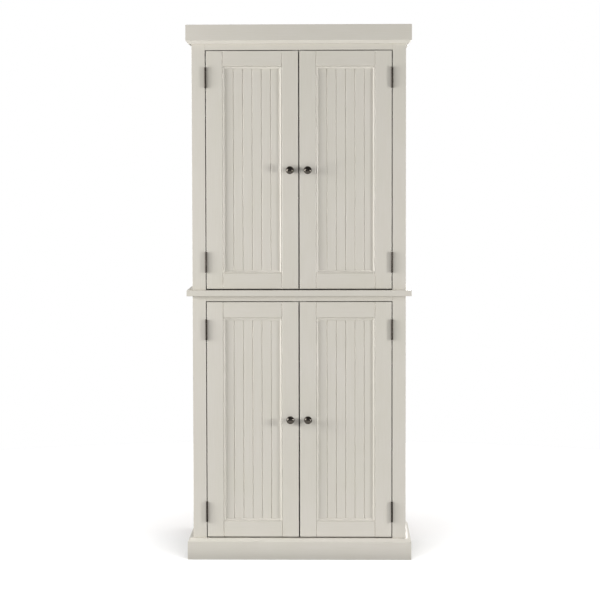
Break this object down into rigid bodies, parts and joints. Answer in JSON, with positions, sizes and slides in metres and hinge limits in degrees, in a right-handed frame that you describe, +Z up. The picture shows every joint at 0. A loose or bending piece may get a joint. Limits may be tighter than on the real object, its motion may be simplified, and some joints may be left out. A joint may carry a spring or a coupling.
{
  "type": "pantry cabinet",
  "caption": "Tall painted pantry cabinet with an upper and a lower pair of beaded-panel doors, shelves inside, and crown, waist and base mouldings.",
  "frame": {"origin": "on the floor, in the middle of the whole object's width and depth", "axes": "+Z up, front with the doors towards -Y, +X to the right of someone facing the front"},
  "size_m": [0.762, 0.412, 1.816],
  "materials": {
    "paint": "satin warm ivory paint on wood",
    "inside_paint": "matt ivory inside finish on board",
    "back_board": "bare brown hardboard",
    "knob_metal": "dark oil-rubbed bronze, semi-gloss",
    "hinge_metal": "dark bronze, satin",
    "zinc": "zinc-plated steel",
    "catch_plastic": "white moulded plastic",
    "beech": "fluted beech dowel, bare"
  },
  "bodies": {
    "case": {"side_panel_left": "paint", "side_panel_right": "paint", "bottom_panel": "inside_paint", "middle_panel": "inside_paint", "wall_rail": "inside_paint", "lower_shelves": "inside_paint", "upper_shelves": "inside_paint", "top_panel": "paint", "face_stile_left": "paint", "face_stile_right": "paint", "face_rail_top": "paint", "face_rail_middle": "paint", "face_rail_bottom": "paint", "crown_front": "paint", "crown_left": "paint", "crown_right": "paint", "waist_front": "paint", "waist_left": "paint", "waist_right": "paint", "base_front": "paint", "base_left": "paint", "base_right": "paint", "back_sheet_lower": "back_board", "back_sheet_upper": "back_board", "shelf_pins": "zinc", "hinge_frame_leaves": "hinge_metal", "hinge_pins": "hinge_metal", "case_screws": "zinc", "magnetic_catches": "catch_plastic", "cam_fittings": "zinc", "dowels": "beech"},
    "upper_left_door": {"upper_left_stiles": "paint", "upper_left_rails": "paint", "upper_left_panel": "paint", "upper_left_bead": "paint", "upper_left_knob": "knob_metal", "upper_left_hinge_leaves": "hinge_metal", "upper_left_fixings": "zinc"},
    "upper_right_door": {"upper_right_stiles": "paint", "upper_right_rails": "paint", "upper_right_panel": "paint", "upper_right_bead": "paint", "upper_right_knob": "knob_metal", "upper_right_hinge_leaves": "hinge_metal", "upper_right_fixings": "zinc"},
    "lower_left_door": {"lower_left_stiles": "paint", "lower_left_rails": "paint", "lower_left_panel": "paint", "lower_left_bead": "paint", "lower_left_knob": "knob_metal", "lower_left_hinge_leaves": "hinge_metal", "lower_left_fixings": "zinc"},
    "lower_right_door": {"lower_right_stiles": "paint", "lower_right_rails": "paint", "lower_right_panel": "paint", "lower_right_bead": "paint", "lower_right_knob": "knob_metal", "lower_right_hinge_leaves": "hinge_metal", "lower_right_fixings": "zinc"}
  },
  "joints": [
    {"name": "upper_left_door_hinge", "type": "hinge", "parent": "case", "child": "upper_left_door", "pos_m": [-0.3154, -0.1849, 1.32635], "axis": [0, 0, -1], "range_deg": [0, 180]},
    {"name": "upper_right_door_hinge", "type": "hinge", "parent": "case", "child": "upper_right_door", "pos_m": [0.3154, -0.1849, 1.32635], "axis": [0, 0, 1], "range_deg": [0, 180]},
    {"name": "lower_left_door_hinge", "type": "hinge", "parent": "case", "child": "lower_left_door", "pos_m": [-0.3154, -0.1849, 0.4777], "axis": [0, 0, -1], "range_deg": [0, 180]},
    {"name": "lower_right_door_hinge", "type": "hinge", "parent": "case", "child": "lower_right_door", "pos_m": [0.3154, -0.1849, 0.4777], "axis": [0, 0, 1], "range_deg": [0, 180]}
  ]
}
